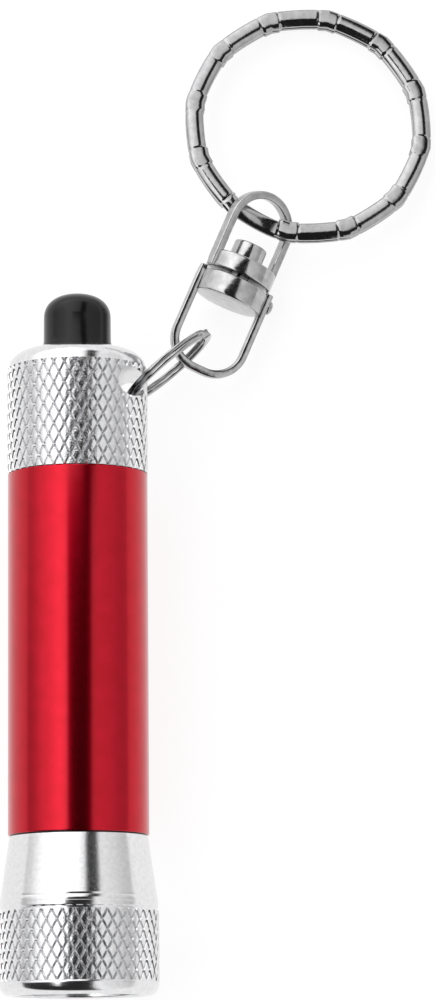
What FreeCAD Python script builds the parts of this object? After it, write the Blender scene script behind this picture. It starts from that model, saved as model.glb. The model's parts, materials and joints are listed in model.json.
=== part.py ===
"""Keychain flashlight lying on its side, with its split ring, swivel and key ring.

Layout: the flashlight's axis runs along +Y from the front rim (y = 0) to the button,
at AXIS_Z above the table. The chain lies to its +X side. Millimetres.
"""
import FreeCAD, Part
import math
import os

V = FreeCAD.Vector

# ---- head ------------------------------------------------------------------
HEAD_R = 7.93            # over the knurled band
AXIS_Z = HEAD_R + 0.02
RIM_R = 7.2              # outside of the flat front rim
MOUTH_R = 6.43
MOUTH_DEPTH = 1.1
LIP_R = 5.9              # step that keeps the lens in
LIP_DEPTH = 1.6
BAND_START = 1.33
BAND_END = 8.26
GROOVE_R = 7.72
CONE_START = 9.0
CONE_R = 7.84
HEAD_LENGTH = 15.64
HEAD_END_R = 6.87
HEAD_BORE_R = 6.50
THREAD_CLEARANCE = 0.05

# ---- barrel ----------------------------------------------------------------
BARREL_R = 7.0
BARREL_END = 51.9
BARREL_BORE_R = 6.15
NECK_R = HEAD_BORE_R - THREAD_CLEARANCE
NECK_LENGTH = 4.3
REAR_NECK_LENGTH = 5.0
SEAL_THICK = 0.12

# ---- light module ----------------------------------------------------------
MODULE_R = 6.40
LENS_THICK = 1.0
GASKET_THICK = 0.5
REFLECTOR_LENGTH = 5.4
LED_COUNT = 3
LED_CIRCLE_R = 3.2
LED_R = 2.5
LED_LENGTH = 6.3
LED_FLANGE_R = 2.65
LED_FLANGE_LENGTH = 1.0
LED_HOLE_FRONT_R = 2.7
LED_HOLE_R = 2.55
BOARD_THICK = 0.9
RETAINER_THICK = 0.5

# ---- cells -----------------------------------------------------------------
CELL_R = 5.8
CELL_LENGTH = 5.4
CELL_COUNT = 4
CELL_START = 14.6
SLEEVE_WALL = 0.18
CONTACT_THICK = 0.3
SPRING_WIRE_R = 0.25
SPRING_WIRE_SIDES = 8
BOARD_SPRING_R = 2.4
REAR_SPRING_R = 3.0
RETURN_SPRING_R = 3.3

# ---- tail cap, switch and button -------------------------------------------
CAP_R = 7.05
CAP_KNURL_END = 62.65
CAP_END = 64.55
CAP_SHOULDER = ((6.15, 63.98), (4.35, CAP_END))   # half-way point and top of the rounded shoulder
CAP_MOUTH_R = 3.75
CAP_SHAFT_R = 3.25
BOOT_SEAT_Y = 61.2
HOLE_Y = 60.7
HOLE_R = 1.5
HOLE_OFFSET = 5.3        # distance of the ring hole's axis from the flashlight's axis
HOLE_LEAN = 4.0          # degrees that the hole leans towards +X as it rises
SWITCH_R = 6.05
SWITCH_START = 41.0
SWITCH_END = 57.0
PLUNGER_R = 2.4
COLLAR_R = 4.0
COLLAR_START = 55.2
COLLAR_END = 56.2
POCKET_R = 4.2           # of the pocket that the return spring and the collar run in
BUTTON_R = 3.4
BUTTON_FOOT_R = 3.55
BUTTON_TIP = 70.4
BUTTON_CORNER = 2.6
BUTTON_TRAVEL = 1.5

# ---- chain -----------------------------------------------------------------
SMALL_RING_R = 5.4
SMALL_WIRE = (0.85, 0.42)     # radial width, thickness of one coil
SMALL_START = (5.0, 59.7)     # plan position of the ring's edge inside the cap's hole
SMALL_HEADING = 50.5          # degrees from +Y towards +X
SMALL_Z = 7.05
SWIVEL_CENTRE = (16.15, 72.64, 3.75)
SWIVEL_HEADING = 23.5
LOWER_ROLL = 13.0
UPPER_ROLL = 36.0
DISC_R = 3.55
DISC_GAP = 0.4
LOWER_DISC = 2.25
UPPER_DISC = 1.85
PIN_R = 1.2
PIN_CLEARANCE = 0.06
PIN_HEAD_R = 1.75
PIN_HEAD = 1.85
STRIP = (0.85, 1.15)           # width and height of the bail's strip
UPPER_BAIL = (3.55, 9.85)     # half width at the strip's middle, outer length from the gap
LOWER_BAIL = (3.72, 10.4)
LOWER_CORNER = 3.1
KEY_RING_R = 12.9
KEY_WIRE = (1.9, 0.78)
KEY_CENTRE = (23.75, 89.3)
KEY_TILT = 7.2
KEY_BAIL_DIR = (-0.517, -0.856)
JOG_DEGREES = 28.0
COIL_GAP = 0.05


def outline(start, *steps):
    """Closed wire of (radius, y) corners; a step of two points is an arc through the first."""
    edges = []
    here = V(start[0], start[1], 0)
    for step in steps + (start,):
        if isinstance(step[0], tuple):
            middle = V(step[0][0], step[0][1], 0)
            there = V(step[1][0], step[1][1], 0)
            edges.append(Part.Arc(here, middle, there).toShape())
        else:
            there = V(step[0], step[1], 0)
            if there.distanceToPoint(here) < 1e-6:
                continue
            edges.append(Part.makeLine(here, there))
        here = there
    return Part.Wire(edges)


def turned(start, *steps):
    """Solid of revolution about the flashlight's axis."""
    return Part.Face(outline(start, *steps)).revolve(V(0, 0, 0), V(0, 1, 0), 360)


def tube(outer, inner, y0, y1):
    return turned((inner, y0), (outer, y0), (outer, y1), (inner, y1))


def disc(radius, y0, y1, x=0.0, z=0.0):
    return Part.makeCylinder(radius, y1 - y0, V(x, y0, z), V(0, 1, 0))


def coil_spring(radius, wire, y0, y1, turns):
    """Helical spring about the flashlight's axis between two planes, of eight-sided wire."""
    height = y1 - y0 - 2 * wire
    helix = Part.makeHelix(height / turns, height, radius)
    corners = []
    for i in range(SPRING_WIRE_SIDES):
        turn = 2 * math.pi * (i + 0.5) / SPRING_WIRE_SIDES
        corners.append(V(radius + wire * math.cos(turn), 0, wire * math.sin(turn)))
    section = Part.makePolygon(corners + [corners[0]])
    spring = Part.Wire(helix.Edges).makePipeShell([section], True, True)
    spring.rotate(V(0, 0, 0), V(1, 0, 0), -90)
    spring.translate(V(0, y0 + wire, 0))
    return spring


# ---- head ------------------------------------------------------------------
def head_bezel():
    return turned((MOUTH_R, 0.16), (6.6, 0.0), (RIM_R, 0.0),
                  ((7.72, 0.45), (HEAD_R, BAND_START)), (HEAD_R, BAND_END),
                  (GROOVE_R, BAND_END + 0.15), (GROOVE_R, BAND_END + 0.35),
                  (CONE_R, CONE_START), (HEAD_END_R, HEAD_LENGTH),
                  (HEAD_BORE_R, HEAD_LENGTH), (HEAD_BORE_R, LIP_DEPTH),
                  (LIP_R, LIP_DEPTH), (LIP_R, MOUTH_DEPTH), (MOUTH_R, MOUTH_DEPTH))


LENS_Y = LIP_DEPTH
GASKET_Y = LENS_Y + LENS_THICK
REFLECTOR_Y = GASKET_Y + GASKET_THICK
LED_FLANGE_Y = REFLECTOR_Y + REFLECTOR_LENGTH
BOARD_Y = LED_FLANGE_Y + LED_FLANGE_LENGTH
RETAINER_Y = BOARD_Y + BOARD_THICK


def lens():
    return disc(MODULE_R, LENS_Y, LENS_Y + LENS_THICK)


def lens_gasket():
    return tube(MODULE_R, MODULE_R - 0.7, GASKET_Y, GASKET_Y + GASKET_THICK)


def led_places():
    places = []
    for i in range(LED_COUNT):
        angle = math.radians(90 + 360 / LED_COUNT * i)
        places.append((LED_CIRCLE_R * math.cos(angle), LED_CIRCLE_R * math.sin(angle)))
    return places


def reflector():
    body = disc(MODULE_R, REFLECTOR_Y, LED_FLANGE_Y)
    flare = REFLECTOR_LENGTH * 0.6
    for x, z in led_places():
        cone = Part.makeCone(LED_HOLE_FRONT_R, LED_HOLE_R, flare, V(x, REFLECTOR_Y, z), V(0, 1, 0))
        body = body.cut(cone)
        body = body.cut(disc(LED_HOLE_R, REFLECTOR_Y, LED_FLANGE_Y, x, z))
    return body


def led(place):
    x, z = place
    tip = BOARD_Y - LED_LENGTH
    shaft = disc(LED_R, tip + LED_R, BOARD_Y, x, z)
    dome = Part.makeSphere(LED_R, V(x, tip + LED_R, z))
    flange = disc(LED_FLANGE_R, LED_FLANGE_Y, BOARD_Y, x, z)
    return shaft.fuse([dome, flange]).removeSplitter()


def led_board():
    return disc(MODULE_R, BOARD_Y, BOARD_Y + BOARD_THICK)


def board_retainer():
    return tube(MODULE_R + 0.05, MODULE_R - 1.2, RETAINER_Y, RETAINER_Y + RETAINER_THICK)


def board_spring():
    return coil_spring(BOARD_SPRING_R, SPRING_WIRE_R, RETAINER_Y, CELL_START, 4)


# ---- barrel ----------------------------------------------------------------
NECK_START = HEAD_LENGTH - NECK_LENGTH
REAR_NECK_END = BARREL_END + REAR_NECK_LENGTH


def barrel():
    shoulder = HEAD_LENGTH + SEAL_THICK
    return turned((BARREL_BORE_R, NECK_START), (NECK_R, NECK_START), (NECK_R, shoulder),
                  (BARREL_R - 0.08, shoulder), (BARREL_R, shoulder + 0.1),
                  (BARREL_R, BARREL_END - 0.1), (BARREL_R - 0.08, BARREL_END),
                  (NECK_R, BARREL_END), (NECK_R, REAR_NECK_END), (BARREL_BORE_R, REAR_NECK_END))


def head_seal():
    """Thin flat rubber washer in the seam between head and barrel."""
    return tube(HEAD_END_R - 0.05, NECK_R, HEAD_LENGTH, HEAD_LENGTH + SEAL_THICK)


def cell_sleeve():
    end = CELL_START + CELL_COUNT * CELL_LENGTH
    return tube(BARREL_BORE_R - 0.03, BARREL_BORE_R - 0.03 - SLEEVE_WALL, CELL_START, end + 3.0)


def cell(index):
    """Button cell: wide can, stepped to the narrower minus cap at the front."""
    y0 = CELL_START + index * CELL_LENGTH
    y1 = y0 + CELL_LENGTH
    return turned((0, y0), (4.6, y0), (5.0, y0 + 0.5), (CELL_R - 0.3, y0 + 0.6),
                  (CELL_R, y0 + 0.9), (CELL_R, y1 - 0.2), (CELL_R - 0.2, y1), (0, y1))


# ---- switch ----------------------------------------------------------------
CELLS_END = CELL_START + CELL_COUNT * CELL_LENGTH
CONTACT_Y = SWITCH_START - CONTACT_THICK
PLUNGER_START = 47.0
PLUNGER_END = 63.2
SPRING_SEAT = 50.0


def rear_spring():
    return coil_spring(REAR_SPRING_R, SPRING_WIRE_R, CELLS_END, CONTACT_Y, 4)


def contact_plate():
    return disc(SWITCH_R - 0.1, CONTACT_Y, SWITCH_START)


def switch_housing():
    """Plastic body: a cup with a well for the plunger and its return spring."""
    body = disc(SWITCH_R, SWITCH_START, SWITCH_END)
    well = disc(PLUNGER_R + 0.1, PLUNGER_START - BUTTON_TRAVEL - 0.4, SWITCH_END)
    pocket = disc(POCKET_R, SPRING_SEAT, SWITCH_END)
    return body.cut(well).cut(pocket)


def switch_plunger():
    """Plastic plunger: a stem, and a collar that the return spring pushes on."""
    return turned((0, PLUNGER_START), (PLUNGER_R, PLUNGER_START), (PLUNGER_R, COLLAR_START),
                  (COLLAR_R, COLLAR_START), (COLLAR_R, COLLAR_END), (PLUNGER_R, COLLAR_END),
                  (PLUNGER_R, PLUNGER_END), (0, PLUNGER_END))


def return_spring():
    return coil_spring(RETURN_SPRING_R, SPRING_WIRE_R, SPRING_SEAT, COLLAR_START, 5)


# ---- tail cap and button ---------------------------------------------------
def ring_hole():
    """Straight hole for the small ring, close under the tail cap's side."""
    lean = math.radians(HOLE_LEAN)
    way = V(math.sin(lean), 0, math.cos(lean))
    out = V(math.cos(lean), 0, -math.sin(lean))
    start = out * HOLE_OFFSET - way * 10 + V(0, HOLE_Y, 0)
    return Part.makeCylinder(HOLE_R, 20, start, way)


def tail_cap():
    shell = turned((HEAD_BORE_R, BARREL_END + 0.03), (CAP_R - 0.1, BARREL_END + 0.03),
                   (CAP_R, BARREL_END + 0.15), (CAP_R, CAP_KNURL_END),
                   CAP_SHOULDER,
                   ((3.85, CAP_END - 0.1), (CAP_MOUTH_R, CAP_END - 0.4)),
                   (CAP_MOUTH_R, BOOT_SEAT_Y), (CAP_SHAFT_R, BOOT_SEAT_Y),
                   (CAP_SHAFT_R, REAR_NECK_END + 0.2), (HEAD_BORE_R, REAR_NECK_END + 0.2))
    return shell.cut(ring_hole())


def button():
    """Rubber button: straight sides, a slightly flared foot and a domed end."""
    corner = BUTTON_R - BUTTON_CORNER
    knee = BUTTON_TIP - BUTTON_CORNER
    slope = BUTTON_CORNER * math.sqrt(0.5)
    return turned((0, PLUNGER_END), (BUTTON_FOOT_R, PLUNGER_END), (BUTTON_FOOT_R, CAP_END + 0.4),
                  (BUTTON_R + 0.02, CAP_END + 0.8), (BUTTON_R, knee),
                  ((corner + slope, knee + slope), (corner, BUTTON_TIP)), (0, BUTTON_TIP))


# ---- rings -----------------------------------------------------------------
def wire_section(mean_r, width, thick, angle, z):
    """Chamfered rectangle standing in the radial plane at one angle of a ring."""
    half = width / 2
    low = z - thick / 2
    high = z + thick / 2
    bevel = min(width, thick) * 0.22
    corners = [(-half + bevel, low), (half - bevel, low), (half, low + bevel), (half, high - bevel),
               (half - bevel, high), (-half + bevel, high), (-half, high - bevel),
               (-half, low + bevel)]
    turn = math.radians(angle)
    points = [V((mean_r + r) * math.cos(turn), (mean_r + r) * math.sin(turn), h)
              for r, h in corners]
    return Part.makePolygon(points + [points[0]])


def split_ring(outer_r, wire, jog_at):
    """Two flat coils about Z, joined by one slanting stretch, the jog."""
    width, thick = wire
    mean_r = outer_r - width / 2
    step = (thick + COIL_GAP) / 2
    axis = (V(0, 0, 0), V(0, 0, 1))
    jog_end = jog_at + JOG_DEGREES
    top = Part.Face(wire_section(mean_r, width, thick, jog_end, step))
    top = top.revolve(*axis, 360 - JOG_DEGREES)
    low = Part.Face(wire_section(mean_r, width, thick, jog_end, -step))
    low = low.revolve(*axis, 360 - JOG_DEGREES)
    sections = []
    count = 8
    for i in range(count + 1):
        share = i / count
        height = step * math.cos(math.pi * share)
        sections.append(wire_section(mean_r, width, thick, jog_at + JOG_DEGREES * share, height))
    jog = Part.makeLoft(sections, True, True)
    return top.fuse([jog, low])


def placed(shape, roll, heading, where):
    """Rolls a shape about +Y, turns it from +Y towards +X, and moves it."""
    shape = shape.copy()
    shape.rotate(V(0, 0, 0), V(0, 1, 0), roll)
    shape.rotate(V(0, 0, 0), V(0, 0, 1), -heading)
    shape.translate(V(*where))
    return shape


def small_ring():
    """Stands upright: its plane holds the vertical and its heading."""
    ring = split_ring(SMALL_RING_R, SMALL_WIRE, 100)
    ring.rotate(V(0, 0, 0), V(0, 1, 0), 90)
    heading = math.radians(SMALL_HEADING)
    x = SMALL_START[0] + SMALL_RING_R * math.sin(heading)
    y = SMALL_START[1] + SMALL_RING_R * math.cos(heading)
    return placed(ring, 0, SMALL_HEADING, (x, y, SMALL_Z - AXIS_Z))


def key_ring():
    """Leans up to the swivel: its far side lies on the table."""
    tilt = math.radians(KEY_TILT)
    z = (KEY_WIRE[1] + COIL_GAP / 2) * math.cos(tilt) + KEY_RING_R * math.sin(tilt) - AXIS_Z
    toward = math.degrees(math.atan2(KEY_BAIL_DIR[1], KEY_BAIL_DIR[0]))
    ring = split_ring(KEY_RING_R, KEY_WIRE, toward - JOG_DEGREES / 2)
    ring.rotate(V(0, 0, 0), V(KEY_BAIL_DIR[1], -KEY_BAIL_DIR[0], 0), KEY_TILT)
    ring.translate(V(KEY_CENTRE[0], KEY_CENTRE[1], z))
    return ring


# ---- swivel (built along +Y from the gap between its discs) ----------------
def bail_strip(half, reach, corner, start, way):
    """Flat strip bent to a U: straight arms and an end with round corners."""
    end = reach - STRIP[0] / 2
    bend = V(half - corner, way * (end - corner), 0)
    diagonal = corner * math.sqrt(0.5)
    right_mid = V(bend.x + diagonal, bend.y + way * diagonal, 0)
    left_mid = V(-right_mid.x, right_mid.y, 0)
    foot = way * start
    edges = [Part.makeLine(V(half, foot, 0), V(half, bend.y, 0)),
             Part.Arc(V(half, bend.y, 0), right_mid, V(bend.x, way * end, 0)).toShape()]
    if bend.x > 0.01:
        edges.append(Part.makeLine(V(bend.x, way * end, 0), V(-bend.x, way * end, 0)))
    edges += [Part.Arc(V(-bend.x, way * end, 0), left_mid, V(-half, bend.y, 0)).toShape(),
              Part.makeLine(V(-half, bend.y, 0), V(-half, foot, 0))]
    section = strip_section(half, foot)
    return Part.Wire(edges).makePipeShell([section], True, False)


def strip_section(half, foot):
    w = STRIP[0] / 2
    h = STRIP[1] / 2
    bevel = 0.2
    corners = [(-w + bevel, -h), (w - bevel, -h), (w, -h + bevel), (w, h - bevel),
               (w - bevel, h), (-w + bevel, h), (-w, h - bevel), (-w, -h + bevel)]
    points = [V(half + x, foot, z) for x, z in corners]
    return Part.makePolygon(points + [points[0]])


def upper_bail():
    plate = disc(DISC_R, DISC_GAP / 2, DISC_GAP / 2 + UPPER_DISC)
    strip = bail_strip(UPPER_BAIL[0], UPPER_BAIL[1], UPPER_BAIL[0], DISC_GAP / 2 + 0.05, 1)
    hole = disc(PIN_R + PIN_CLEARANCE, 0, 4)
    half = plate.fuse(strip).cut(hole)
    return placed(half, UPPER_ROLL, SWIVEL_HEADING, swivel_place())


def lower_bail():
    plate = disc(DISC_R, -DISC_GAP / 2 - LOWER_DISC, -DISC_GAP / 2)
    strip = bail_strip(LOWER_BAIL[0], LOWER_BAIL[1], LOWER_CORNER, DISC_GAP / 2 + 0.05, -1)
    hole = disc(PIN_R, -4, 0)
    half = plate.fuse(strip).cut(hole)
    return placed(half, LOWER_ROLL, SWIVEL_HEADING, swivel_place())


def swivel_pin():
    """Rivet: its shaft is fast in the lower disc and its head keeps the upper disc on."""
    low = -DISC_GAP / 2 - LOWER_DISC
    head = DISC_GAP / 2 + UPPER_DISC + 0.1
    shaft = disc(PIN_R, low, head)
    cap = disc(PIN_HEAD_R, head, head + PIN_HEAD)
    tail = disc(PIN_R + 0.5, low - 0.35, low)
    return placed(shaft.fuse([cap, tail]), 0, SWIVEL_HEADING, swivel_place())


def swivel_place():
    return (SWIVEL_CENTRE[0], SWIVEL_CENTRE[1], SWIVEL_CENTRE[2] - AXIS_Z)


# ---- the whole, moved so that the origin is under the middle ---------------
X_MIN = -HEAD_R
X_MAX = KEY_CENTRE[0] + KEY_RING_R
Y_MAX = KEY_CENTRE[1] + KEY_RING_R
ORIGIN = V(-(X_MIN + X_MAX) / 2, -Y_MAX / 2, AXIS_Z)


def all_nodes():
    nodes = {
        "head_bezel": head_bezel(), "lens": lens(), "lens_gasket": lens_gasket(),
        "reflector": reflector(), "led_board": led_board(), "board_retainer": board_retainer(),
        "board_spring": board_spring(), "head_seal": head_seal(), "barrel": barrel(),
        "cell_sleeve": cell_sleeve(),
        "rear_spring": rear_spring(), "contact_plate": contact_plate(),
        "switch_housing": switch_housing(), "switch_plunger": switch_plunger(),
        "return_spring": return_spring(), "tail_cap": tail_cap(), "button": button(),
        "small_ring": small_ring(), "lower_bail": lower_bail(), "swivel_pin": swivel_pin(),
        "upper_bail": upper_bail(), "key_ring": key_ring(),
    }
    for i, place in enumerate(led_places()):
        nodes["led_%d" % (i + 1)] = led(place)
    for i in range(CELL_COUNT):
        nodes["cell_%d" % (i + 1)] = cell(i)
    return nodes


def main():
    os.makedirs("parts", exist_ok=True)
    for name, shape in all_nodes().items():
        if len(shape.Solids) == 1:
            shape = shape.Solids[0]
        shape.translate(ORIGIN)
        shape.exportStep("parts/%s.step" % name)
        print(name, shape.ShapeType, "valid", shape.isValid(), "volume", round(shape.Volume, 3))


main()
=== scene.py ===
"""Looks of the keychain flashlight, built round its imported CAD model.

Pieces are modelled in millimetres in the flashlight's own layout: its axis runs along +Y
from the front rim (y = 0), with x = z = 0 on the axis. place() moves them to the row frame.
"""
import json
import math

import bmesh
import bpy
from mathutils import Matrix, Vector


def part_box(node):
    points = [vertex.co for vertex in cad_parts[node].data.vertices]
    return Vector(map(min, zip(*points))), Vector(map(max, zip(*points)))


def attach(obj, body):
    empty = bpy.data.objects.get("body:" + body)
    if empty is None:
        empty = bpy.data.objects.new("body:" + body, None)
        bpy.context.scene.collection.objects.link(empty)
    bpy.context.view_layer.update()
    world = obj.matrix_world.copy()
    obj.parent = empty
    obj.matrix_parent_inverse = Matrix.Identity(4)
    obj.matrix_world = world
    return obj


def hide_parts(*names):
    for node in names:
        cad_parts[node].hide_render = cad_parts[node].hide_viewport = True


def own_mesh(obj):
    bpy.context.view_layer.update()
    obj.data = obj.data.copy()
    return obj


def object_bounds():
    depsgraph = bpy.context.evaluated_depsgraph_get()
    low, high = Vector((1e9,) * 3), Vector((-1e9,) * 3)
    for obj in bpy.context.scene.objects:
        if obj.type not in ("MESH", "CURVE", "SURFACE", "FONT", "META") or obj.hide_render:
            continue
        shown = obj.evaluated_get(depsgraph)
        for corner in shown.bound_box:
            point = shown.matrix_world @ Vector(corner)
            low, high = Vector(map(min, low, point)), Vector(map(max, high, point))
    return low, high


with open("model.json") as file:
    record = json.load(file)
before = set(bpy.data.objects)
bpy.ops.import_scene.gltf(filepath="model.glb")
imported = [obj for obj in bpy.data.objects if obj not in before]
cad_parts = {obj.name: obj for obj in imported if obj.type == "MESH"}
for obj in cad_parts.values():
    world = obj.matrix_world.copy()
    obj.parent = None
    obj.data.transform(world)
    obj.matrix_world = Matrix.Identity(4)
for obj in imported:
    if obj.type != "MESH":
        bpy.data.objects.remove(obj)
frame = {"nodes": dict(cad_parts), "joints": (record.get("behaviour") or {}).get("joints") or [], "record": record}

cad_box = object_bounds()
MM = 0.001
barrel_low, barrel_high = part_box("barrel")
head_low, head_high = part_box("head_bezel")
cap_low, cap_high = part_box("tail_cap")
button_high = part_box("button")[1]
AXIS = Vector(((barrel_low.x + barrel_high.x) / 2, head_low.y, (barrel_low.z + barrel_high.z) / 2))
JOINTS = {joint["name"]: joint for joint in frame["joints"]}

# ---- sizes, in millimetres ---------------------------------------------------
SEGMENTS = 192
SHARP = math.radians(33)
HEAD_R = (head_high.x - head_low.x) / 2 / MM
HEAD_LENGTH = (head_high.y - head_low.y) / MM
HEAD_BAND = (1.33, 8.26)
HEAD_KNURL = (45, 1.95)           # grooves of each hand, and their pitch along the axis
HEAD_END_R = 6.87
CONE_FOOT = (7.76, 9.62)          # radius and y where the cone meets the tool lines
HEAD_BORE_R = 6.5
MOUTH_R = 6.43
LIP_R = 5.9
MOUTH_DEPTH = 1.1
LIP_DEPTH = 1.6
BARREL_R = (barrel_high.x - barrel_low.x) / 2 / MM
BARREL_SPAN = (HEAD_LENGTH + 0.12, 51.9)
NECK_R = 6.45
NECK_LENGTH = 4.3
REAR_NECK_LENGTH = 5.0
BORE_R = 6.15
CAP_R = (cap_high.x - cap_low.x) / 2 / MM
CAP_BAND = (51.93, 62.65)
CAP_KNURL = (40, 2.06)
CAP_END = (cap_high.y - AXIS.y) / MM
CAP_MOUTH_R = 3.75
CAP_SHAFT_R = 3.25
CAP_BORE_R = 6.5
BOOT_SEAT_Y = 61.2
CAP_BORE_END = 57.1
KNURL_DEPTH = 0.27
KNURL_LINES = (0.0, 0.14, 0.32, 0.5, 0.68, 0.86, 1.0)
GROOVE_SHARE = 0.14
CROWN = 0.03
HOLE = (5.3, 60.7)                # the ring hole's distance from the axis, and its y
HOLE_R = 1.5
HOLE_LEAN = 4.0
BUTTON_R = 3.4
BUTTON_FOOT_R = 3.55
BUTTON_FOOT_Y = 63.2
BUTTON_DOME = 2.5                 # height of the domed end
BUTTON_POWER = 0.86               # under 1 makes the dome boxier than an ellipse
BUTTON_TIP = (button_high.y - AXIS.y) / MM
SPRING_R = 3.3
SPRING_WIRE_R = 0.25
SPRING_TURNS = 5
SMALL_RING_R = 5.4
SMALL_WIRE = (0.85, 0.42)
SMALL_HEADING = 50.5
SMALL_JOG_AT = 100.0
KEY_RING_R = 12.9
KEY_WIRE = (1.84, 0.78)
KEY_DENTS = 12
KEY_DENT_PHASE = 18.9
DENT_HALF = 4.0                   # degrees to where a dent starts to fade, and its fade
DENT_FADE = 1.6
NOTCH_AT = 5.0                    # degrees from the dent's middle to a notch, and its half width
NOTCH_HALF = 0.9
JOG_DEGREES = 28.0
COIL_GAP = 0.05
DISC_R = 3.55
DISC_GAP = 0.4
LOWER_DISC = 2.25
UPPER_DISC = 1.85
UPPER_BAIL = (3.55, 9.85, 3.55)   # half width of the strip's middle line, outer length, corner
LOWER_BAIL = (3.72, 10.4, 3.1)
BULGE = 0.12                      # of the lower disc's underside
PIN_R = 1.2
PIN_CLEARANCE = 0.06
PIN_DEPTH = 1.5                   # of the blind hole in the lower disc
PIN_HEAD = (1.75, 1.85)           # radius and height
LOWER_ROLL = 13.0
UPPER_ROLL = 36.0
STRIP = (0.85, 1.15)


# ---- mesh helpers --------------------------------------------------------------
def rounded(corners, steps=5):
    """Corner points (radius, y, fillet) as a finer closed profile with rounded corners."""
    points = []
    count = len(corners)
    for i, (r, y, fillet) in enumerate(corners):
        here = Vector((r, y))
        if fillet <= 0:
            points.append((r, y))
            continue
        before = Vector(corners[i - 1][:2]) - here
        after = Vector(corners[(i + 1) % count][:2]) - here
        reach = min(fillet, before.length * 0.48, after.length * 0.48)
        start = here + before.normalized() * reach
        end = here + after.normalized() * reach
        for k in range(steps + 1):
            t = k / steps
            point = start * (1 - t) ** 2 + here * (2 * t * (1 - t)) + end * t ** 2
            points.append((point.x, point.y))
    return points


def lathe(bm, profile, closed=True, segments=SEGMENTS):
    """Adds the surface that a (radius, y) profile turns about +Y; radius 0 makes a pole."""
    rings = []
    for r, y in profile:
        if r < 1e-6:
            rings.append([bm.verts.new((0, y, 0))] * segments)
            continue
        ring = []
        for i in range(segments):
            turn = 2 * math.pi * i / segments
            ring.append(bm.verts.new((r * math.cos(turn), y, r * math.sin(turn))))
        rings.append(ring)
    following = rings[1:] + rings[:1] if closed else rings[1:]
    for low, high in zip(rings, following):
        for i in range(segments):
            j = (i + 1) % segments
            corners = list(dict.fromkeys((low[i], low[j], high[j], high[i])))
            if len(corners) > 2:
                bm.faces.new(corners)


def sweep(bm, loops):
    """Skins a row of point loops and closes its two ends."""
    rings = [[bm.verts.new(p) for p in loop] for loop in loops]
    for low, high in zip(rings, rings[1:]):
        for i in range(len(low)):
            j = (i + 1) % len(low)
            bm.faces.new((low[i], low[j], high[j], high[i]))
    bm.faces.new(rings[0][::-1])
    bm.faces.new(rings[-1])


def to_mesh(bm, name):
    bmesh.ops.recalc_face_normals(bm, faces=bm.faces)
    mesh = bpy.data.meshes.new(name)
    bm.to_mesh(mesh)
    bm.free()
    obj = bpy.data.objects.new(name, mesh)
    bpy.context.scene.collection.objects.link(obj)
    return obj


def combine(obj, other, operation):
    """Boolean of two solids; the second one is used up."""
    modifier = obj.modifiers.new("combine", "BOOLEAN")
    modifier.operation = operation
    modifier.solver = "EXACT"
    modifier.object = other
    evaluated = obj.evaluated_get(bpy.context.evaluated_depsgraph_get())
    mesh = bpy.data.meshes.new_from_object(evaluated)
    obj.modifiers.clear()
    obj.data = mesh
    bpy.data.objects.remove(other)
    return obj


def smooth(obj):
    """Smooth shading, with the edges over the SHARP angle kept crisp."""
    bm = bmesh.new()
    bm.from_mesh(obj.data)
    bmesh.ops.dissolve_degenerate(bm, edges=bm.edges, dist=1e-5)
    for face in bm.faces:
        face.smooth = True
    for edge in bm.edges:
        edge.smooth = len(edge.link_faces) != 2 or edge.calc_face_angle() < SHARP
    bm.to_mesh(obj.data)
    bm.free()


def place(obj, body, slot, *nodes, local=None):
    """Finishes a piece: shading, place in the row frame, material, body and what it replaces."""
    smooth(obj)
    where = local if local is not None else Matrix.Translation(AXIS)
    obj.data.transform(where @ Matrix.Scale(MM, 4))
    obj.data.materials.clear()
    obj.data.materials.append(MATERIALS[slot])
    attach(obj, body)
    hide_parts(*nodes)


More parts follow.
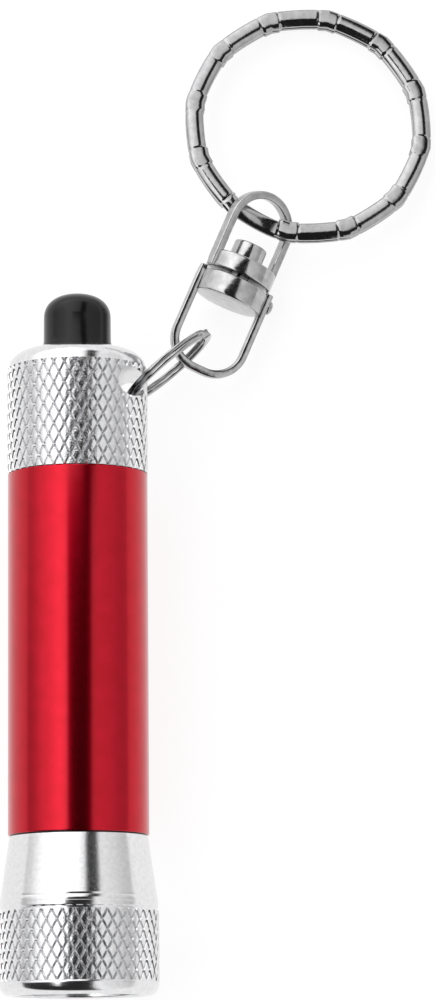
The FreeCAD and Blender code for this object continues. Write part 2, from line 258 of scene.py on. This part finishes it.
# ---- materials -----------------------------------------------------------------
class Surface:
    """A Principled material whose colour, roughness and relief come from procedural textures."""

    def __init__(self, name, metallic=0.0, **sockets):
        self.name = name
        self.material = bpy.data.materials.new("look_" + name)
        self.material.use_nodes = True
        self.tree = self.material.node_tree
        self.shader = self.tree.nodes["Principled BSDF"]
        self.shader.inputs["Metallic"].default_value = metallic
        for socket, value in sockets.items():
            self.shader.inputs[socket.replace("_", " ")].default_value = value
        self.coordinates = self.tree.nodes.new("ShaderNodeTexCoord").outputs["Object"]

    def grain(self, scale, detail=3.0):
        """Even noise; scale is in features per metre."""
        node = self.tree.nodes.new("ShaderNodeTexNoise")
        node.inputs["Scale"].default_value = scale
        node.inputs["Detail"].default_value = detail
        self.tree.links.new(self.coordinates, node.inputs["Vector"])
        return node.outputs["Fac"]

    def turning(self, scale):
        """Fine lines round the flashlight's axis, as a lathe tool leaves them."""
        stretch = self.tree.nodes.new("ShaderNodeMapping")
        stretch.inputs["Scale"].default_value = (0.02, 1.0, 0.02)
        self.tree.links.new(self.coordinates, stretch.inputs["Vector"])
        node = self.tree.nodes.new("ShaderNodeTexNoise")
        node.inputs["Scale"].default_value = scale
        node.inputs["Detail"].default_value = 2.0
        self.tree.links.new(stretch.outputs["Vector"], node.inputs["Vector"])
        return node.outputs["Fac"]

    def in_bands(self, source, outside):
        """The source in full in the flashlight's knurled bands, and that share of it elsewhere."""
        split = self.tree.nodes.new("ShaderNodeSeparateXYZ")
        self.tree.links.new(self.coordinates, split.inputs[0])
        inside = []
        for start, end in (HEAD_BAND, CAP_BAND):
            node = self.tree.nodes.new("ShaderNodeMath")
            node.operation = "COMPARE"
            self.tree.links.new(split.outputs["Y"], node.inputs[0])
            node.inputs[1].default_value = AXIS.y + (start + end) / 2 * MM
            node.inputs[2].default_value = (end - start) / 2 * MM
            inside.append(node.outputs[0])
        either = self.tree.nodes.new("ShaderNodeMath")
        either.operation = "MAXIMUM"
        share = self.tree.nodes.new("ShaderNodeMapRange")
        share.inputs["To Min"].default_value = outside
        scaled = self.tree.nodes.new("ShaderNodeMath")
        scaled.operation = "MULTIPLY"
        for socket, value in zip(either.inputs, inside):
            self.tree.links.new(value, socket)
        self.tree.links.new(either.outputs[0], share.inputs["Value"])
        self.tree.links.new(share.outputs[0], scaled.inputs[0])
        self.tree.links.new(source, scaled.inputs[1])
        return scaled.outputs[0]

    def ramp(self, source, low, high, socket):
        """Runs a socket between two colours or greys as the source goes from 0.3 to 0.7."""
        node = self.tree.nodes.new("ShaderNodeValToRGB")
        for stop, position, value in zip(node.color_ramp.elements, (0.3, 0.7), (low, high)):
            stop.position = position
            colour = value if isinstance(value, tuple) else (value,) * 3
            stop.color = colour + (1.0,)
        self.tree.links.new(source, node.inputs["Fac"])
        self.tree.links.new(node.outputs["Color"], self.shader.inputs[socket])
        return self

    def relief(self, source, height, strength=1.0):
        """Bump of a few micrometres; height is in metres."""
        node = self.tree.nodes.new("ShaderNodeBump")
        node.inputs["Strength"].default_value = strength
        node.inputs["Distance"].default_value = height
        self.tree.links.new(source, node.inputs["Height"])
        self.tree.links.new(node.outputs["Normal"], self.shader.inputs["Normal"])
        return self


def red_anodised():
    s = Surface("red_anodised", 1.0, Coat_Weight=0.35, Coat_Roughness=0.12, Coat_IOR=1.5)
    s.ramp(s.grain(600), (0.47, 0.001, 0.012), (0.53, 0.002, 0.018), "Base Color")
    s.ramp(s.grain(9000), 0.20, 0.25, "Roughness")
    return s.relief(s.turning(14000), 1.5e-6, 0.35)


def polished_aluminium():
    s = Surface("polished_aluminium", 1.0)
    s.ramp(s.grain(2500), (0.72, 0.72, 0.73), (0.80, 0.80, 0.81), "Base Color")
    s.ramp(s.grain(7000, 4.0), 0.10, 0.20, "Roughness")
    return s.relief(s.in_bands(s.grain(5500, 4.0), 0.12), 40e-6, 0.5)


def bright_plating():
    s = Surface("bright_plating", 1.0)
    s.ramp(s.grain(1500), (0.34, 0.34, 0.345), (0.44, 0.44, 0.445), "Base Color")
    s.ramp(s.grain(3000), 0.07, 0.13, "Roughness")
    return s.relief(s.grain(2500), 12e-6, 0.4)


def zinc_casting():
    s = Surface("zinc_casting", 1.0)
    s.ramp(s.grain(1200), (0.37, 0.37, 0.375), (0.50, 0.50, 0.505), "Base Color")
    s.ramp(s.grain(2500), 0.10, 0.18, "Roughness")
    return s.relief(s.grain(1800), 22e-6, 0.45)


def black_rubber():
    s = Surface("black_rubber", 0.0, Specular_IOR_Level=0.28)
    s.ramp(s.grain(3000), (0.004, 0.004, 0.0045), (0.008, 0.008, 0.009), "Base Color")
    s.ramp(s.grain(5000), 0.13, 0.22, "Roughness")
    return s.relief(s.grain(8000), 3e-6, 0.4)


def clear_plastic():
    s = Surface("clear_plastic", 0.0, IOR=1.49, Transmission_Weight=1.0)
    s.ramp(s.grain(300), (0.97, 0.98, 0.98), (1.0, 1.0, 1.0), "Base Color")
    return s.ramp(s.grain(2000), 0.01, 0.03, "Roughness")


def reflector_plating():
    s = Surface("reflector_plating", 1.0)
    s.ramp(s.grain(900), (0.86, 0.86, 0.87), (0.93, 0.93, 0.94), "Base Color")
    return s.ramp(s.grain(3000), 0.05, 0.10, "Roughness")


def led_epoxy():
    s = Surface("led_epoxy", 0.0, IOR=1.52, Transmission_Weight=0.55)
    s.ramp(s.grain(500), (0.88, 0.88, 0.78), (0.95, 0.95, 0.88), "Base Color")
    return s.ramp(s.grain(2500), 0.05, 0.12, "Roughness")


def circuit_board():
    s = Surface("circuit_board")
    s.ramp(s.grain(1500), (0.02, 0.13, 0.05), (0.03, 0.18, 0.07), "Base Color")
    return s.ramp(s.grain(4000), 0.35, 0.5, "Roughness")


def steel(name, shade, low, high):
    s = Surface(name, 1.0)
    light = (shade + 0.08, shade + 0.08, shade + 0.07)
    s.ramp(s.grain(1500), (shade, shade, shade), light, "Base Color")
    return s.ramp(s.grain(6000), low, high, "Roughness")


def plastic(name, low, high):
    s = Surface(name)
    s.ramp(s.grain(2000), low, high, "Base Color")
    return s.ramp(s.grain(5000), 0.4, 0.55, "Roughness")


def contact_brass():
    s = Surface("contact_brass", 1.0)
    s.ramp(s.grain(1500), (0.72, 0.55, 0.25), (0.80, 0.64, 0.32), "Base Color")
    return s.ramp(s.grain(6000), 0.15, 0.28, "Roughness")


SURFACES = [red_anodised(), polished_aluminium(), bright_plating(), zinc_casting(), black_rubber(),
            clear_plastic(), reflector_plating(), led_epoxy(), circuit_board(), contact_brass(),
            steel("cell_steel", 0.66, 0.18, 0.3), steel("spring_steel", 0.58, 0.15, 0.25),
            plastic("sleeve_plastic", (0.78, 0.78, 0.75), (0.86, 0.86, 0.83)),
            plastic("switch_plastic", (0.02, 0.02, 0.022), (0.035, 0.035, 0.037))]
MATERIALS = {s.name: s.material for s in SURFACES}


# ---- knurled turnings ------------------------------------------------------------
def groove(t):
    return max(0.0, 1 - min(t, 1 - t) / GROOVE_SHARE)


def knurl_point(radius, start, knurl, a, b):
    """Point of the knurl: a and b count the grooves of the two hands from the band's start."""
    count, pitch = knurl
    turn = math.pi * (a + b) / count
    y = start + pitch * (a - b) / 2
    cut = max(groove(a % 1.0), groove(b % 1.0))
    swell = math.sin(math.pi * (a % 1.0)) * math.sin(math.pi * (b % 1.0))
    r = radius - CROWN * (1 - swell) - KNURL_DEPTH * cut
    return (r * math.cos(turn), y, r * math.sin(turn))


def knurled_band(bm, radius, band, knurl, rim_r):
    """Adds a diamond-knurled band whose two ends close down to circles of rim_r."""
    start, end = band
    count, pitch = knurl
    last = int(2 * (end - start) / pitch) + 2
    for row in range(-2, last):
        for k in range(count):
            i = (2 * k + row % 2 + row) // 2
            j = i - row
            cell = []
            for ta in KNURL_LINES:
                points = [knurl_point(radius, start, knurl, i + ta, j + tb) for tb in KNURL_LINES]
                cell.append([bm.verts.new(p) for p in points])
            for low, high in zip(cell, cell[1:]):
                for n in range(len(low) - 1):
                    bm.faces.new((low[n], high[n], high[n + 1], low[n + 1]))
    bmesh.ops.remove_doubles(bm, verts=bm.verts, dist=1e-4)
    for y, side in ((start, -1), (end, 1)):
        everything = bm.verts[:] + bm.edges[:] + bm.faces[:]
        bmesh.ops.bisect_plane(bm, geom=everything, dist=1e-5, plane_co=(0, y, 0),
                               plane_no=(0, side, 0), clear_outer=True)
    rim = [edge for edge in bm.edges if len(edge.link_faces) == 1]
    made = bmesh.ops.extrude_edge_only(bm, edges=rim)["geom"]
    step = 2 * math.pi / SEGMENTS
    for vert in made:
        if isinstance(vert, bmesh.types.BMVert):
            turn = round(math.atan2(vert.co.z, vert.co.x) / step) * step
            vert.co.x = rim_r * math.cos(turn)
            vert.co.z = rim_r * math.sin(turn)


def head():
    """Bezel: knurled band, chamfered front, cone with two tool lines, bore and lens lip."""
    bm = bmesh.new()
    rim_r = HEAD_R - 0.3
    knurled_band(bm, HEAD_R, HEAD_BAND, HEAD_KNURL, rim_r)
    y0, y1 = HEAD_BAND
    chamfer = [(HEAD_R - 0.06, y0, 0), (HEAD_R - 0.01, y0 - 0.18, 0.1), (7.72, 0.42, 0.35),
               (7.2, 0.0, 0.1), (6.6, 0.0, 0.06), (MOUTH_R, 0.16, 0.05),
               (MOUTH_R, MOUTH_DEPTH, 0.05)]
    inside = [(LIP_R, MOUTH_DEPTH, 0.06), (LIP_R, LIP_DEPTH, 0.0),
              (HEAD_BORE_R, LIP_DEPTH, 0.0), (HEAD_BORE_R, HEAD_LENGTH, 0.0)]
    foot_r, foot_y = CONE_FOOT
    slope = (foot_r - HEAD_END_R) / (HEAD_LENGTH - foot_y)
    # The rings close to the cone's two ends keep its shading straight.
    cone = [(HEAD_END_R, HEAD_LENGTH, 0.06), (HEAD_END_R + 0.4 * slope, HEAD_LENGTH - 0.4, 0.0),
            (foot_r - 0.2 * slope, foot_y + 0.2, 0.0), (foot_r, foot_y, 0.0),
            (7.75, 9.59, 0.0), (7.77, 9.56, 0.0),
            (7.83, 9.06, 0.0), (7.82, 9.03, 0.0), (7.84, 9.00, 0.0), (7.80, y1 + 0.32, 0.05),
            (7.72, y1 + 0.2, 0.05), (7.72, y1, 0.0)]
    lathe(bm, [(rim_r, y0)] + rounded(chamfer + inside + cone) + [(rim_r, y1)], closed=False)
    bmesh.ops.remove_doubles(bm, verts=bm.verts, dist=1e-4)
    place(to_mesh(bm, "knurled_head"), "head", "polished_aluminium", "head_bezel")


def barrel():
    bm = bmesh.new()
    y0, y1 = BARREL_SPAN
    lathe(bm, rounded([(BORE_R, y0 - NECK_LENGTH, 0.0), (NECK_R, y0 - NECK_LENGTH, 0.1), 
                       (NECK_R, y0, 0.0), (BARREL_R, y0, 0.12),
                       (BARREL_R, y1, 0.12), (NECK_R, y1, 0.0),
                       (NECK_R, y1 + REAR_NECK_LENGTH, 0.1),
                       (BORE_R, y1 + REAR_NECK_LENGTH, 0.0)]))
    place(to_mesh(bm, "red_barrel"), "barrel", "red_anodised", "barrel")


def hole_cutter():
    """Drill shape for the ring's hole, with the fine rings that a drill leaves."""
    bm = bmesh.new()
    profile = [(0, -10)]
    for i in range(81):
        profile.append((HOLE_R - 0.025 * (i % 2), -10 + i * 0.25))
    profile.append((0, 10))
    lathe(bm, profile, closed=False, segments=64)
    lean = Matrix.Rotation(math.radians(HOLE_LEAN), 4, "Y")
    upright = Matrix.Rotation(math.radians(90), 4, "X")
    move = Matrix.Translation((0, HOLE[1], 0)) @ lean @ Matrix.Translation((HOLE[0], 0, 0))
    bmesh.ops.transform(bm, matrix=move @ upright, verts=bm.verts)
    return to_mesh(bm, "drill")


def tail_cap():
    """Cap: knurled band, polished rounded shoulder, button mouth, bore and the ring's hole."""
    bm = bmesh.new()
    rim_r = CAP_R - 0.3
    knurled_band(bm, CAP_R, CAP_BAND, CAP_KNURL, rim_r)
    y0, y1 = CAP_BAND
    shoulder = [(CAP_R - 0.07, y1)]
    steps = 14
    for i in range(1, steps + 1):
        turn = math.radians(90 * i / steps)
        shoulder.append((CAP_MOUTH_R + 0.45 + (CAP_R - 0.57 - CAP_MOUTH_R) * math.cos(turn),
                         y1 + 0.06 + (CAP_END - y1 - 0.06) * math.sin(turn)))
    mouth = rounded([(CAP_MOUTH_R, CAP_END, 0.3), (CAP_MOUTH_R, BOOT_SEAT_Y, 0.0),
                     (CAP_SHAFT_R, BOOT_SEAT_Y, 0.0), (CAP_SHAFT_R, CAP_BORE_END, 0.0),
                     (CAP_BORE_R, CAP_BORE_END, 0.0), (CAP_BORE_R, y0, 0.0)])
    lathe(bm, [(rim_r, y1)] + shoulder + mouth + [(rim_r, y0)], closed=False)
    bmesh.ops.remove_doubles(bm, verts=bm.verts, dist=1e-4)
    cap = combine(to_mesh(bm, "knurled_tail_cap"), hole_cutter(), "DIFFERENCE")
    place(cap, "barrel", "polished_aluminium", "tail_cap")


def button():
    """Moulded rubber button: slightly flared foot, straight sides, soft knee and low dome."""
    bm = bmesh.new()
    knee = BUTTON_TIP - BUTTON_DOME
    profile = [(0, BUTTON_FOOT_Y), (BUTTON_FOOT_R, BUTTON_FOOT_Y),
               (BUTTON_FOOT_R, CAP_END + 0.25), (BUTTON_FOOT_R - 0.08, CAP_END + 0.55),
               (BUTTON_R, CAP_END + 0.9), (BUTTON_R - 0.02, knee)]
    steps = 16
    for i in range(1, steps):
        turn = math.radians(90 * i / steps)
        profile.append(((BUTTON_R - 0.02) * math.cos(turn) ** BUTTON_POWER,
                        knee + (BUTTON_TIP - knee) * math.sin(turn) ** BUTTON_POWER))
    profile.append((0, BUTTON_TIP))
    lathe(bm, profile, closed=False)
    place(to_mesh(bm, "rubber_button"), "button", "black_rubber", "button")


def return_spring():
    """Coil under the plunger's collar."""
    low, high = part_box("return_spring")
    start, end = (low.y - AXIS.y) / MM, (high.y - AXIS.y) / MM
    rise = (end - start - 2 * SPRING_WIRE_R) / SPRING_TURNS
    steps = 48
    bm = bmesh.new()
    loops = []
    for i in range(SPRING_TURNS * steps + 1):
        turn = 2 * math.pi * i / steps
        y = start + SPRING_WIRE_R + rise * i / steps
        loop = []
        for k in range(12):
            side = 2 * math.pi * k / 12
            r = SPRING_R + SPRING_WIRE_R * math.cos(side)
            across = SPRING_WIRE_R * math.sin(side)
            loop.append((r * math.cos(turn), y + across, r * math.sin(turn)))
        loops.append(loop)
    sweep(bm, loops)
    coil = to_mesh(bm, "plunger_spring")
    place(coil, "barrel", "spring_steel", "return_spring")
    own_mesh(coil)


# ---- rings ---------------------------------------------------------------------
def power_curve(value, power):
    return math.copysign(abs(value) ** power, value)


def coil_loop(turn, mean_r, width, thick, height, top, bottom, points=20):
    """Section of a coil at an angle: top and bottom set how boxy the two halves are."""
    loop = []
    for k in range(points):
        s = 2 * math.pi * (k + 0.5) / points
        power = top if math.sin(s) > 0 else bottom
        out = mean_r + width / 2 * power_curve(math.cos(s), power)
        up = height + thick / 2 * power_curve(math.sin(s), power)
        loop.append((out * math.cos(turn), out * math.sin(turn), up))
    return loop


def coil_path(jog_at, step_degrees):
    """(angle, level) along the two coils: level goes from 1 on the top coil to -1 below."""
    first = jog_at + JOG_DEGREES
    total = 720 - JOG_DEGREES
    count = int(total / step_degrees)
    path = []
    for i in range(count + 1):
        angle = first + total * i / count
        share = min(1.0, max(0.0, (angle - jog_at - 360) / JOG_DEGREES))
        path.append((angle, math.cos(math.pi * share)))
    return path


def small_ring():
    """Small two-coil split ring of plain flat wire, standing on edge."""
    width, thick = SMALL_WIRE
    step = (thick + COIL_GAP) / 2
    loops = []
    for angle, level in coil_path(SMALL_JOG_AT, 3.0):
        loops.append(coil_loop(math.radians(angle), SMALL_RING_R - width / 2, width, thick,
                               level * step, 0.55, 0.55))
    bm = bmesh.new()
    sweep(bm, loops)
    low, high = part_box("small_ring")
    local = (Matrix.Translation((low + high) / 2)
             @ Matrix.Rotation(-math.radians(SMALL_HEADING), 4, "Z")
             @ Matrix.Rotation(math.radians(90), 4, "Y"))
    place(to_mesh(bm, "small_split_ring"), "small_ring", "bright_plating", "small_ring",
          local=local)


def dent_shape(angle):
    """(share inside a dent, share inside one of its notches, how straight the side is)."""
    spacing = 360 / KEY_DENTS
    off = abs((angle - KEY_DENT_PHASE + spacing / 2) % spacing - spacing / 2)
    inside = min(1.0, max(0.0, 1 - (off - DENT_HALF) / DENT_FADE))
    notch = max(0.0, 1 - abs(off - NOTCH_AT) / NOTCH_HALF)
    half = spacing / 2
    flat = math.cos(math.radians(half)) / math.cos(math.radians(half - off))
    return inside, notch, flat


def key_ring():
    """Key ring: two coils bent to soft corners, with a pressed dent and its notches at each."""
    base_width, thick = KEY_WIRE
    step = (thick + COIL_GAP) / 2
    axis = Vector(JOINTS["key_ring_turn"]["axis"])
    lean = Vector((-axis.x, -axis.y, 0)).normalized()
    tilt = math.acos(axis.z)
    toward = math.degrees(math.atan2(lean.y, lean.x))
    loops = []
    for angle, level in coil_path(toward - JOG_DEGREES / 2, 0.5):
        inside, notch, flat = dent_shape(angle)
        if abs(level) < 1:
            inside = notch = 0.0
        outer = KEY_RING_R * (0.5 + 0.5 * flat) - 0.02 - 0.05 * notch
        width = base_width + 0.14 * inside - 0.10 * notch
        height = thick * (1 - 0.05 * inside - 0.04 * notch)
        share = (level + 1) / 2
        round_side = 1.0 - 0.35 * inside
        top = round_side * share + 0.4 * (1 - share)
        bottom = round_side * (1 - share) + 0.4 * share
        rise = (thick - height) / 2 * (1 - 2 * share)
        loops.append(coil_loop(math.radians(angle), outer - width / 2, width, height,
                               level * step + rise, top, bottom))
    bm = bmesh.new()
    sweep(bm, loops)
    local = (Matrix.Translation(Vector(JOINTS["key_ring_turn"]["pos_m"]))
             @ Matrix.Rotation(tilt, 4, Vector((lean.y, -lean.x, 0))))
    place(to_mesh(bm, "faceted_key_ring"), "key_ring", "bright_plating", "key_ring", local=local)


# ---- swivel ----------------------------------------------------------------------
def swivel_frame(roll):
    """The swivel's own frame: +Y along its axis, from the gap between its discs."""
    joint = JOINTS["swivel"]
    heading = math.atan2(joint["axis"][0], joint["axis"][1])
    return (Matrix.Translation(Vector(joint["pos_m"])) @ Matrix.Rotation(-heading, 4, "Z")
            @ Matrix.Rotation(math.radians(roll), 4, "Y"))


def strip_line(half, reach, corner, start):
    """(x, y, outward x, outward y) along a U: up the right arm, round, and down the left."""
    end = reach - STRIP[0] / 2
    rise = end - corner
    line = [(half, start + rise_step * (rise - start) / 8, 1.0, 0.0) for rise_step in range(8)]
    for side in (1, -1):
        turns = range(0, 91, 6) if side > 0 else range(90, -1, -6)
        for degrees in turns:
            turn = math.radians(degrees)
            line.append((side * (half - corner + corner * math.cos(turn)),
                         rise + corner * math.sin(turn), side * math.cos(turn), math.sin(turn)))
    line += [(-x, y, -nx, ny) for x, y, nx, ny in line[7::-1]]
    return line


def soft_section(width, height, power, points=20):
    section = []
    for k in range(points):
        s = 2 * math.pi * (k + 0.5) / points
        section.append((width / 2 * power_curve(math.cos(s), power),
                        height / 2 * power_curve(math.sin(s), power)))
    return section


def bail_strip(half, reach, corner, start, way, name):
    """Flat cast strip bent to a U, with soft edges; way is +1 for up and -1 for down."""
    line = strip_line(half, reach, corner, start)
    loops = []
    for i, (x, y, nx, ny) in enumerate(line):
        if i and (x, y) == line[i - 1][:2]:
            continue
        at_end = i in (0, len(line) - 1)
        full = soft_section(STRIP[0], STRIP[1], 0.42)
        scale = 0.8 if at_end else 1.0
        loops.append([(x + nx * a * scale, way * (y + ny * a * scale), b * scale) for a, b in full])
        if i == 0:
            loops.append([(x + nx * a, way * (y + 0.1 + ny * a), b) for a, b in full])
    bm = bmesh.new()
    sweep(bm, loops)
    return to_mesh(bm, name)


def disc(profile, name):
    bm = bmesh.new()
    lathe(bm, rounded(profile), closed=True, segments=128)
    return to_mesh(bm, name)


def upper_bail():
    low = DISC_GAP / 2
    high = low + UPPER_DISC
    bore = PIN_R + PIN_CLEARANCE
    plate = disc([(bore, low, 0.0), (DISC_R, low, 0.22), (DISC_R, high, 0.3), (bore, high, 0.0)],
                 "cast_upper_bail")
    strip = bail_strip(*UPPER_BAIL, low + 0.05, 1, "strip")
    obj = combine(plate, strip, "UNION")
    place(obj, "upper_bail", "zinc_casting", "upper_bail", local=swivel_frame(UPPER_ROLL))


def cast_nub():
    """Small hook of flash on the lower bail's right arm."""
    bm = bmesh.new()
    bmesh.ops.create_uvsphere(bm, u_segments=24, v_segments=16, radius=1.0)
    where = Matrix.Translation((LOWER_BAIL[0] + STRIP[0] / 2, -1.15, 0.1))
    bmesh.ops.transform(bm, matrix=where @ Matrix.Diagonal((0.42, 0.75, 0.5, 1.0)), verts=bm.verts)
    return to_mesh(bm, "nub")


def lower_bail():
    """Lower half: disc with a bulging underside and a blind hole for the pin, and its strip."""
    bm = bmesh.new()
    top = -DISC_GAP / 2
    base = top - LOWER_DISC
    depth = top - PIN_DEPTH
    profile = [(0, depth), (PIN_R, depth), (PIN_R, top)]
    profile += rounded([(PIN_R, top, 0.0), (DISC_R, top, 0.22), (DISC_R, base, 0.2),
                        (0, base, 0.0)])[1:-1]
    for degrees in range(12, 90, 12):
        turn = math.radians(degrees)
        profile.append(((DISC_R - 0.25) * math.cos(turn), base - BULGE * math.sin(turn)))
    profile.append((0, base - BULGE))
    lathe(bm, profile, closed=False, segments=128)
    plate = to_mesh(bm, "cast_lower_bail")
    strip = bail_strip(*LOWER_BAIL, DISC_GAP / 2 - 0.35, -1, "strip")
    obj = combine(combine(plate, strip, "UNION"), cast_nub(), "UNION")
    place(obj, "lower_bail", "zinc_casting", "lower_bail", local=swivel_frame(LOWER_ROLL))


def swivel_pin():
    """Rivet: shaft fast in the lower disc, and a head that keeps the upper disc on."""
    bm = bmesh.new()
    foot = -DISC_GAP / 2 - PIN_DEPTH
    head_foot = DISC_GAP / 2 + UPPER_DISC + 0.1
    head_r, head_height = PIN_HEAD
    tip = head_foot + head_height
    profile = rounded([(0, foot, 0.0), (PIN_R, foot, 0.0), (PIN_R, head_foot, 0.0),
                       (head_r, head_foot, 0.08), (head_r, tip, 0.25), (0, tip, 0.0)])
    lathe(bm, profile, closed=False, segments=96)
    place(to_mesh(bm, "rivet_pin"), "lower_bail", "zinc_casting", "swivel_pin",
          local=swivel_frame(0.0))


# ---- inner pieces, floor, light and camera -----------------------------------------
def dress_cad_nodes():
    for part in frame["record"]["subparts"]:
        mesh = frame["nodes"][part["node"]].data
        mesh.materials.clear()
        mesh.materials.append(MATERIALS[part["material_slot"]])


def floor():
    """Plain pale table that gives off most of its own light, so that shadows stay faint."""
    bm = bmesh.new()
    bmesh.ops.create_grid(bm, x_segments=1, y_segments=1, size=3.0)
    obj = to_mesh(bm, "floor")
    obj.location.z = cad_box[0].z - 0.00002
    table = Surface("pale_floor", 0.0, Emission_Color=(1.0, 1.0, 1.0, 1.0), Emission_Strength=0.86)
    table.ramp(table.grain(4), (0.20, 0.20, 0.20), (0.24, 0.24, 0.24), "Base Color")
    table.ramp(table.grain(40), 0.8, 0.9, "Roughness")
    table.shader.inputs["Specular IOR Level"].default_value = 0.0
    obj.data.materials.append(table.material)


# Light by direction: across is by x, from -1 at the left horizon to 1 at the right one.
LIGHT_ACROSS = ((-1.0, 0.25), (-0.95, 0.40), (-0.87, 0.60), (-0.7, 0.76), (-0.5, 1.0),
                (-0.25, 0.94), (0.2, 0.55), (0.6, 0.48), (0.85, 0.40), (1.0, 0.28))
# The dark gap overhead, by y: its middle in x (with 0.5 added) and its half width.
GAP_ALONG = ((-1.0, 0.35, 0.45), (-0.05, 0.555, 0.335), (0.26, 0.56, 0.33), (0.29, 0.86, 0.165),
             (0.6, 0.86, 0.12), (1.0, 0.80, 0.10))


def studio_light():
    """Soft light all round: brightest from the left, dark in a gap overhead and low in front."""
    world = bpy.data.worlds.new("studio")
    bpy.context.scene.world = world
    world.use_nodes = True
    tree = world.node_tree
    split = tree.nodes.new("ShaderNodeSeparateXYZ")
    tree.links.new(tree.nodes.new("ShaderNodeTexCoord").outputs["Generated"], split.inputs[0])

    def calculate(operation, *values):
        node = tree.nodes.new("ShaderNodeMath")
        node.operation = operation
        for socket, value in zip(node.inputs, values):
            if isinstance(value, float):
                socket.default_value = value
            else:
                tree.links.new(value, socket)
        return node.outputs[0]

    def soft_step(source, low, high):
        node = tree.nodes.new("ShaderNodeMapRange")
        node.interpolation_type = "SMOOTHSTEP"
        node.inputs["From Min"].default_value = low
        node.inputs["From Max"].default_value = high
        tree.links.new(source, node.inputs["Value"])
        return node.outputs["Result"]

    def by_direction(component, stops):
        """Colour ramp over one component of the direction, from -1 to 1."""
        node = tree.nodes.new("ShaderNodeValToRGB")
        elements = node.color_ramp.elements
        while len(elements) < len(stops):
            elements.new(0.5)
        for element, stop in zip(elements, stops):
            element.position = (stop[0] + 1) / 2
            element.color = (stop[1], stop[-1], stop[1], 1.0)
        tree.links.new(calculate("MULTIPLY_ADD", component, 0.5, 0.5), node.inputs["Fac"])
        channels = tree.nodes.new("ShaderNodeSeparateColor")
        tree.links.new(node.outputs["Color"], channels.inputs["Color"])
        return channels.outputs[0], channels.outputs[1]

    x, y, z = split.outputs
    middle, half = by_direction(y, GAP_ALONG)
    off = calculate("ABSOLUTE", calculate("SUBTRACT", calculate("ADD", x, 0.5), middle))
    overhead = calculate("SUBTRACT", 1.0, soft_step(calculate("SUBTRACT", off, half), -0.05, 0.05))
    overhead = calculate("MULTIPLY", overhead, soft_step(z, 0.2, 0.36))
    low_front = calculate("MULTIPLY", soft_step(calculate("MULTIPLY", y, -1.0), 0.16, 0.34),
                          calculate("SUBTRACT", 1.0, soft_step(z, 0.66, 0.8)))
    low_front = calculate("MULTIPLY", low_front,
                          calculate("SUBTRACT", 1.0, soft_step(x, 0.2, 0.4)))
    dark = calculate("MAXIMUM", overhead, low_front)
    across = by_direction(x, LIGHT_ACROSS)[0]
    lit = calculate("MULTIPLY", across, calculate("SUBTRACT", 1.0, dark))
    background = tree.nodes["Background"]
    background.inputs["Strength"].default_value = 2.0
    tree.links.new(calculate("ADD", lit, 0.012), background.inputs["Color"])


CAMERA_AT = AXIS + Vector((10.0, -14.0, 390.68)) * MM
CAMERA_AIM = AXIS + Vector((14.01, 49.29, 0.0)) * MM
CAMERA_LENS = 142.07
CAMERA_ROLL = math.radians(-0.48)


def camera():
    data = bpy.data.cameras.new("camera")
    data.sensor_width = 36.0
    data.lens = CAMERA_LENS
    data.clip_start = 0.01
    data.clip_end = 20.0
    obj = bpy.data.objects.new("camera", data)
    bpy.context.scene.collection.objects.link(obj)
    ahead = (CAMERA_AIM - CAMERA_AT).normalized()
    up = (Vector((0, 1, 0)) - ahead * ahead.y).normalized()
    right = ahead.cross(up)
    top = up * math.cos(CAMERA_ROLL) - right * math.sin(CAMERA_ROLL)
    side = right * math.cos(CAMERA_ROLL) + up * math.sin(CAMERA_ROLL)
    turned = Matrix((side, top, -ahead)).transposed().to_4x4()
    obj.matrix_world = Matrix.Translation(CAMERA_AT) @ turned
    bpy.context.scene.camera = obj
    bpy.context.scene.view_settings.view_transform = "Standard"


head()
barrel()
tail_cap()
button()
return_spring()
small_ring()
key_ring()
upper_bail()
lower_bail()
swivel_pin()
dress_cad_nodes()
floor()
studio_light()
camera()
